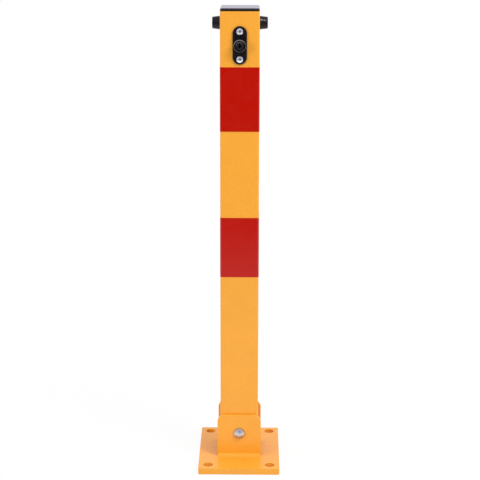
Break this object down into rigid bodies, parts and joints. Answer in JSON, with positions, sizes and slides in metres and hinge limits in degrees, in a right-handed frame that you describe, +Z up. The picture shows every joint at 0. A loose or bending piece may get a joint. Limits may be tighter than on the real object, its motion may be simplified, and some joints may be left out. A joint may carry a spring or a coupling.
{
  "type": "fold-down parking post",
  "caption": "Square steel parking post with red reflective bands and a key lock, hinged on a base plate so that it folds down sideways onto rubber bumpers.",
  "frame": {"origin": "centre of the base plate's underside, on the ground", "axes": "+Z up along the post; the lock faces -Y; +X to the right seen from the lock; the post folds about the Y axis"},
  "size_m": [0.15, 0.2, 0.8456],
  "materials": {
    "orange_coat": "yellow-orange powder coat, semi-gloss, faint orange peel",
    "red_film": "red reflective film, smooth",
    "cap_plastic": "moulded black plastic, glossy top",
    "black_plastic": "moulded black plastic, satin",
    "black_rubber": "moulded black rubber, matte",
    "black_lock_metal": "black coated lock housing, satin",
    "dark_core_metal": "dark turned metal",
    "zinc_steel": "bright zinc-plated steel",
    "plain_steel": "bare drawn steel",
    "nylon": "natural nylon"
  },
  "bodies": {
    "base": {"base_plate": "orange_coat", "bracket_front": "orange_coat", "bracket_rear": "orange_coat", "foot_welds": "orange_coat", "pivot_bolt": "zinc_steel", "pivot_spacers": "nylon", "pivot_washer": "zinc_steel", "pivot_nut": "zinc_steel"},
    "post": {"post_tube": "orange_coat", "pivot_sleeve": "plain_steel", "upper_red_band": "red_film", "lower_red_band": "red_film", "top_cap": "cap_plastic", "bumper_left": "black_rubber", "bumper_right": "black_rubber", "bumper_screws": "zinc_steel", "lock_escutcheon": "black_plastic", "escutcheon_screw_upper": "zinc_steel", "escutcheon_screw_lower": "zinc_steel", "lock_barrel": "black_lock_metal", "lock_nut": "zinc_steel", "rod_guide_upper": "plain_steel", "rod_guide_lower": "plain_steel"},
    "lock_rotor": {"lock_core": "dark_core_metal", "lock_crank": "zinc_steel", "crank_pin": "plain_steel", "crank_screw": "zinc_steel"},
    "rod": {"locking_rod": "plain_steel", "rod_yoke": "zinc_steel", "yoke_screws": "zinc_steel"}
  },
  "joints": [
    {"name": "post_fold", "type": "hinge", "parent": "base", "child": "post", "pos_m": [0, 0, 0.0575], "axis": [0, 1, 0], "range_deg": [-90.6, 90.6]},
    {"name": "lock_turn", "type": "hinge", "parent": "post", "child": "lock_rotor", "pos_m": [0, 0, 0.7815], "axis": [0, 1, 0], "range_deg": [0, 90]},
    {"name": "rod_slide", "type": "slide", "parent": "post", "child": "rod", "axis": [0, 0, 1], "range_m": [-0.024, 0]}
  ],
  "couplings": [
    {"joint": "lock_turn", "follows": "rod_slide", "rad_per_m": -65.449}
  ]
}
